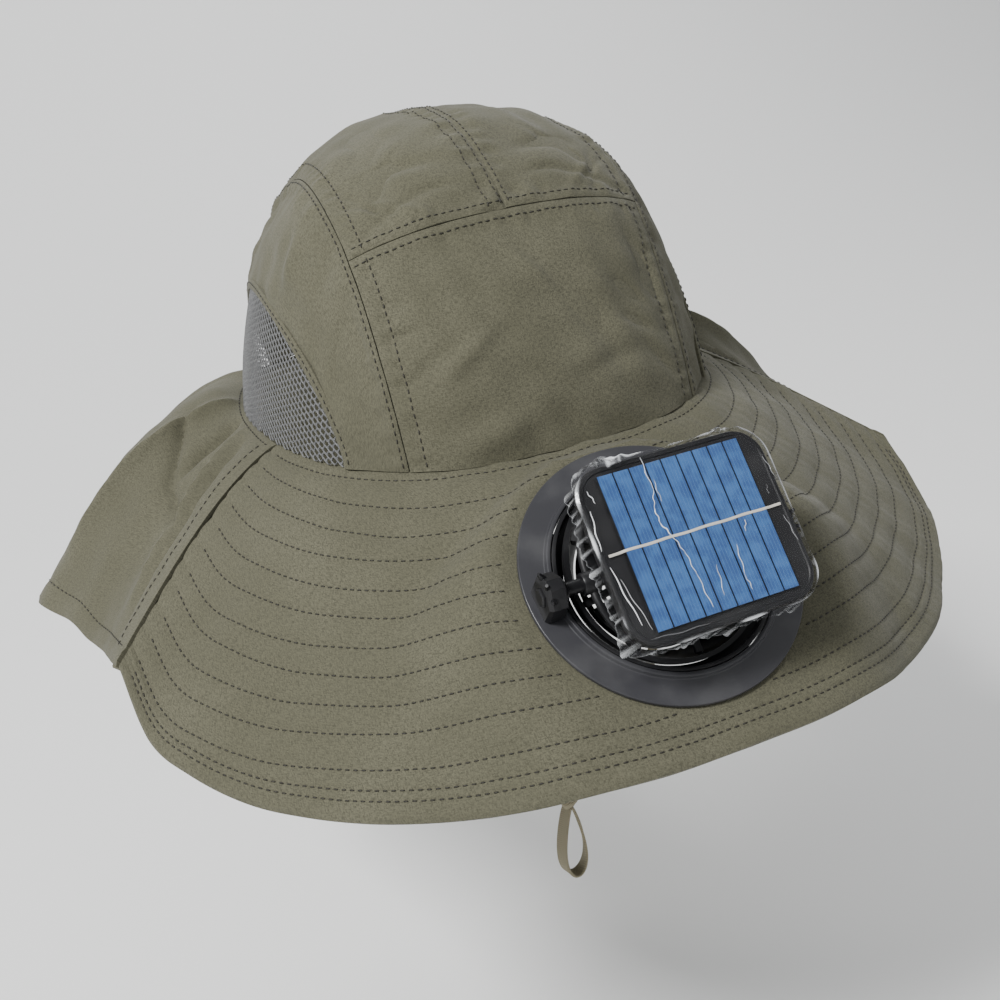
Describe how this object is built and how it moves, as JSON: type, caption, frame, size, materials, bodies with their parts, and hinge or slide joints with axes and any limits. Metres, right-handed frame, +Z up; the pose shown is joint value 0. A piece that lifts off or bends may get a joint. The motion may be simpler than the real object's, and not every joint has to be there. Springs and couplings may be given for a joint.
{
  "type": "solar fan hat",
  "caption": "Cloth sun hat with mesh side vents, wide stitched brim, neck flap, chin tie, and a solar-powered fan that tilts in a round opening in the brim.",
  "frame": {"origin": "centre of the head opening, in the plane where the crown meets the brim", "axes": "+Z up through the crown, -Y the way the wearer faces, +X to the wearer's left"},
  "size_m": [0.348, 0.3438, 0.3067],
  "materials": {
    "olive_cloth": "plain woven olive drab cloth",
    "dark_net": "dark knitted net",
    "beige_tape": "olive beige woven tape",
    "grey_plastic": "dark grey moulded plastic",
    "black_plastic": "black moulded plastic",
    "blue_silicon": "blue polycrystalline solar cells under resin",
    "clear_film": "clear protective film"
  },
  "bodies": {
    "root": {"crown_front": "olive_cloth", "crown_back": "olive_cloth", "crown_top_right": "olive_cloth", "crown_top_left": "olive_cloth", "crown_side_right": "olive_cloth", "crown_side_left": "olive_cloth", "vent_mesh_right": "dark_net", "vent_mesh_left": "dark_net", "brim": "olive_cloth", "neck_flap": "olive_cloth", "chin_strap": "beige_tape", "tie_knot": "beige_tape", "tie_loop": "beige_tape", "fan_flange": "grey_plastic", "fan_collar": "black_plastic", "retaining_ring": "black_plastic", "pivot_block_right": "black_plastic", "pivot_block_left": "black_plastic"},
    "fan_unit": {"fan_housing": "black_plastic", "fan_spider": "black_plastic", "fan_deck": "black_plastic", "fan_motor": "grey_plastic", "fan_guard": "black_plastic", "panel_stem": "black_plastic", "panel_case": "black_plastic", "solar_cells": "blue_silicon", "panel_film": "clear_film"},
    "rotor": {"fan_rotor": "black_plastic"}
  },
  "joints": [
    {"name": "fan_tilt", "type": "hinge", "parent": "root", "child": "fan_unit", "pos_m": [0, -0.15705, -0.01971], "axis": [1, 0, 0], "range_deg": [-36, 14]},
    {"name": "rotor_spin", "type": "hinge", "parent": "fan_unit", "child": "rotor", "pos_m": [0, -0.15705, -0.01971], "axis": [0, -0.7771, 0.6293], "continuous": true}
  ]
}
